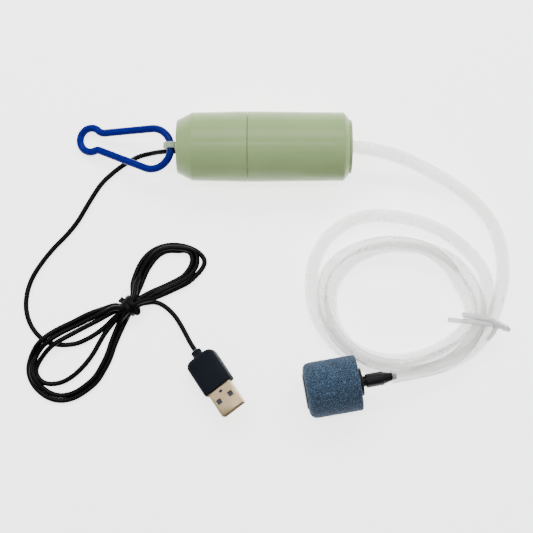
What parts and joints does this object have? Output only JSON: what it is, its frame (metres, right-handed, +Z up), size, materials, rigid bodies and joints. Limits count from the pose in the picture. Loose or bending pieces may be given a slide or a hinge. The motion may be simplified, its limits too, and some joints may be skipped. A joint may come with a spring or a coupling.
{
  "type": "aquarium air pump",
  "caption": "Round USB-powered aquarium air pump with a hanging hook, a bundled power cable, a coiled air hose and an air stone.",
  "frame": {"origin": "middle of the box of the pump and its hook, at the surface that the pump lies on", "axes": "+X along the pump's axis towards its air outlet, +Z up from the surface that it lies on"},
  "size_m": [0.2255, 0.1389, 0.032],
  "materials": {
    "shell_plastic": "glossy moulded sage green",
    "eye_plastic": "satin moulded pale grey-green",
    "hook_plastic": "satin moulded blue",
    "cable_jacket": "satin black PVC",
    "plug_overmould": "matt near-black PVC",
    "tie_black": "black plastic over wire",
    "plug_metal": "nickel plate with a warm tone",
    "contact_metal": "plated",
    "hose_silicone": "translucent silicone",
    "tie_clear": "translucent film over wire",
    "stone_grit": "bonded blue-grey grit",
    "stone_fittings": "satin black moulding",
    "motor_steel": "zinc plate",
    "motor_brass": "sintered",
    "motor_copper": "enamelled copper",
    "motor_magnet": "ferrite",
    "pump_plastic": "natural moulding",
    "pump_rubber": "moulded EPDM",
    "lead_red": "PVC insulation",
    "sleeve_foam": "soft foam"
  },
  "bodies": {
    "housing": {"front_shell": "shell_plastic", "rear_shell": "shell_plastic", "outlet_cap": "shell_plastic", "hanging_eye": "eye_plastic", "usb_cable_lead": "cable_jacket", "usb_cable_bundle": "cable_jacket", "usb_cable_tail": "cable_jacket", "cable_bush": "cable_jacket", "lead_negative": "cable_jacket", "usb_overmould": "plug_overmould", "usb_tongue": "plug_overmould", "cable_tie": "tie_black", "usb_shell": "plug_metal", "usb_contact_1": "contact_metal", "usb_contact_2": "contact_metal", "usb_contact_3": "contact_metal", "usb_contact_4": "contact_metal", "brush_terminal_positive": "contact_metal", "brush_terminal_negative": "contact_metal", "air_hose_lead": "hose_silicone", "air_hose_coil": "hose_silicone", "air_hose_tail": "hose_silicone", "hose_tie": "tie_clear", "air_stone": "stone_grit", "stone_nipple": "stone_fittings", "stone_end_disc": "stone_fittings", "motor_can": "motor_steel", "motor_screw_1": "motor_steel", "motor_screw_2": "motor_steel", "head_screw_1": "motor_steel", "head_screw_2": "motor_steel", "head_screw_3": "motor_steel", "rear_bush": "motor_brass", "front_bush": "motor_brass", "magnet_1": "motor_magnet", "magnet_2": "motor_magnet", "cable_stop": "pump_plastic", "motor_end_bell": "pump_plastic", "pump_head_base": "pump_plastic", "valve_plate": "pump_plastic", "head_cover": "pump_plastic", "diaphragm": "pump_rubber", "lead_positive": "lead_red", "foam_sleeve": "sleeve_foam"},
    "rotor": {"motor_shaft": "motor_steel", "armature_core": "motor_steel", "winding_1": "motor_copper", "winding_2": "motor_copper", "winding_3": "motor_copper", "commutator": "motor_copper", "crank_hub": "pump_plastic", "drive_pin": "motor_steel"},
    "swing": {"swing_plate": "pump_plastic"},
    "hook_loop": {"hook": "hook_plastic"},
    "gate_limb": {"hook_gate": "hook_plastic"},
    "outlet_valve_disc": {"outlet_valve": "pump_rubber"},
    "inlet_valve_disc_1": {"inlet_valve_1": "pump_rubber"},
    "inlet_valve_disc_2": {"inlet_valve_2": "pump_rubber"},
    "inlet_valve_disc_3": {"inlet_valve_3": "pump_rubber"}
  },
  "joints": [
    {"name": "rotor_spin", "type": "hinge", "parent": "housing", "child": "rotor", "pos_m": [0, 0, 0.016], "axis": [1, 0, 0], "continuous": true, "deforming": ["diaphragm"]},
    {"name": "swing_plate_turn", "type": "hinge", "parent": "rotor", "child": "swing", "pos_m": [0.03955, 0, 0.016], "axis": [0.9903, 0, -0.1392], "continuous": true},
    {"name": "hook_swing", "type": "hinge", "parent": "housing", "child": "hook_loop", "pos_m": [-0.0184, 0.0006, 0.016], "axis": [0, 1, 0], "range_deg": [0, 105]},
    {"name": "hook_gate_flex", "type": "hinge", "parent": "hook_loop", "child": "gate_limb", "pos_m": [-0.0275, 0.00885, 0.01302], "axis": [-0.3113, 0, 0.9503], "range_deg": [0, 10], "stiffness_Nm_per_rad": 0.01},
    {"name": "outlet_valve_lift", "type": "slide", "parent": "housing", "child": "outlet_valve_disc", "axis": [1, 0, 0], "range_m": [0, 0.0005], "stiffness_N_per_m": 5},
    {"name": "inlet_valve_lift_1", "type": "slide", "parent": "housing", "child": "inlet_valve_disc_1", "axis": [-1, 0, 0], "range_m": [0, 0.0003], "stiffness_N_per_m": 5},
    {"name": "inlet_valve_lift_2", "type": "slide", "parent": "housing", "child": "inlet_valve_disc_2", "axis": [-1, 0, 0], "range_m": [0, 0.0003], "stiffness_N_per_m": 5},
    {"name": "inlet_valve_lift_3", "type": "slide", "parent": "housing", "child": "inlet_valve_disc_3", "axis": [-1, 0, 0], "range_m": [0, 0.0003], "stiffness_N_per_m": 5}
  ],
  "couplings": [
    {"joint": "swing_plate_turn", "follows": "rotor_spin", "ratio": -1}
  ]
}
